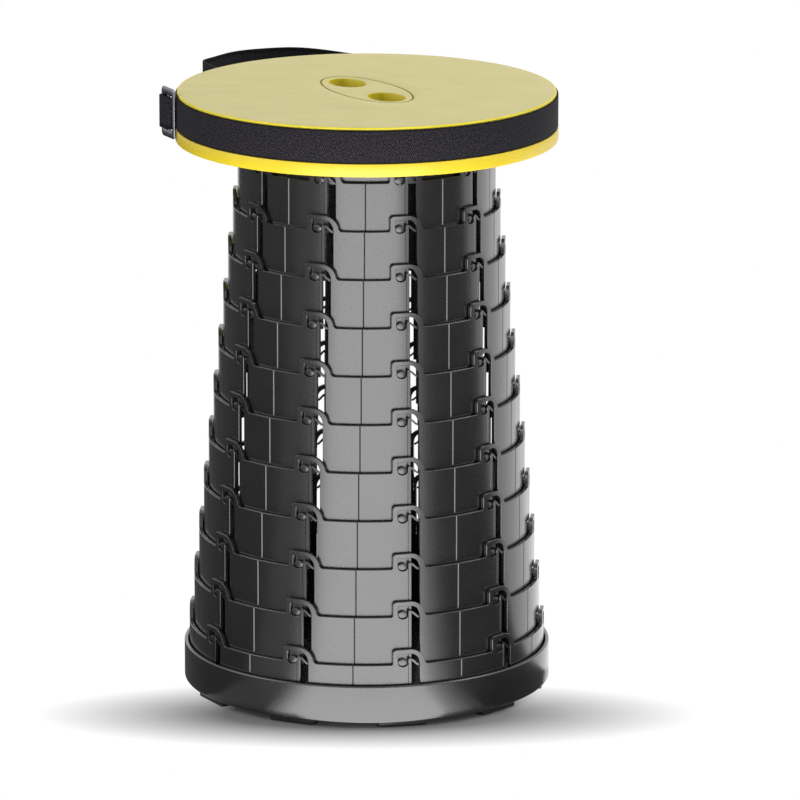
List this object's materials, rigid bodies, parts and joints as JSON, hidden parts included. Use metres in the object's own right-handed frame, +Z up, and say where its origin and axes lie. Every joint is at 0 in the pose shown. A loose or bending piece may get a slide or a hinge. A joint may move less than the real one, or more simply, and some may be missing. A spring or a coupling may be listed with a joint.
{
  "type": "collapsible telescopic stool",
  "caption": "Round stool, extended: nested plastic rings climb in steps from a base tray to a round seat with finger holes and a webbing carrying handle.",
  "frame": {"origin": "on the stool's upright axis, at the level of the base tray's flat underside", "axes": "+Z up along the stool's axis, -Y towards the viewer of the picture, so the finger holes' long axis and the handle lie as the picture shows them"},
  "size_m": [0.29, 0.2991, 0.4503],
  "materials": {
    "black_plastic": "semi-gloss moulded nylon",
    "yellow_plastic": "fine moulded grain",
    "inlay_plastic": "fine moulded grain",
    "webbing": "woven webbing",
    "nickel": "nickel plated",
    "zinc": "zinc plated",
    "rubber": "matt"
  },
  "bodies": {
    "base": {"base_tray": "black_plastic", "base_ring": "black_plastic", "foot_pad_01": "rubber", "foot_pad_02": "rubber", "foot_pad_03": "rubber", "foot_pad_04": "rubber", "foot_pad_05": "rubber", "foot_pad_06": "rubber", "foot_pad_07": "rubber", "foot_pad_08": "rubber", "foot_pad_09": "rubber", "foot_pad_10": "rubber"},
    "ring_10": {"ring_10": "black_plastic"},
    "ring_09": {"ring_09": "black_plastic"},
    "ring_08": {"ring_08": "black_plastic"},
    "ring_07": {"ring_07": "black_plastic"},
    "ring_06": {"ring_06": "black_plastic"},
    "ring_05": {"ring_05": "black_plastic"},
    "ring_04": {"ring_04": "black_plastic"},
    "ring_03": {"ring_03": "black_plastic"},
    "ring_02": {"ring_02": "black_plastic"},
    "ring_01": {"ring_01": "black_plastic"},
    "seat": {"seat_ring": "black_plastic", "seat_cover": "yellow_plastic", "seat_inlay": "inlay_plastic", "seat_screw_1": "zinc", "seat_screw_2": "zinc", "seat_screw_3": "zinc", "seat_screw_4": "zinc", "seat_screw_5": "zinc", "strap_band": "webbing", "strap_handle": "webbing", "strap_tail": "webbing", "strap_slider": "nickel", "strap_rivet_1": "nickel", "strap_rivet_2": "nickel"}
  },
  "joints": [
    {"name": "ring_10_slide", "type": "slide", "parent": "base", "child": "ring_10", "axis": [0, 0, 1], "range_m": [-0.03494, 0]},
    {"name": "ring_09_slide", "type": "slide", "parent": "ring_10", "child": "ring_09", "axis": [0, 0, 1], "range_m": [-0.03494, 0]},
    {"name": "ring_08_slide", "type": "slide", "parent": "ring_09", "child": "ring_08", "axis": [0, 0, 1], "range_m": [-0.03494, 0]},
    {"name": "ring_07_slide", "type": "slide", "parent": "ring_08", "child": "ring_07", "axis": [0, 0, 1], "range_m": [-0.03494, 0]},
    {"name": "ring_06_slide", "type": "slide", "parent": "ring_07", "child": "ring_06", "axis": [0, 0, 1], "range_m": [-0.03494, 0]},
    {"name": "ring_05_slide", "type": "slide", "parent": "ring_06", "child": "ring_05", "axis": [0, 0, 1], "range_m": [-0.03494, 0]},
    {"name": "ring_04_slide", "type": "slide", "parent": "ring_05", "child": "ring_04", "axis": [0, 0, 1], "range_m": [-0.03494, 0]},
    {"name": "ring_03_slide", "type": "slide", "parent": "ring_04", "child": "ring_03", "axis": [0, 0, 1], "range_m": [-0.03494, 0]},
    {"name": "ring_02_slide", "type": "slide", "parent": "ring_03", "child": "ring_02", "axis": [0, 0, 1], "range_m": [-0.03494, 0]},
    {"name": "ring_01_slide", "type": "slide", "parent": "ring_02", "child": "ring_01", "axis": [0, 0, 1], "range_m": [-0.03494, 0]},
    {"name": "seat_slide", "type": "slide", "parent": "ring_01", "child": "seat", "axis": [0, 0, 1], "range_m": [-0.03494, 0]}
  ]
}
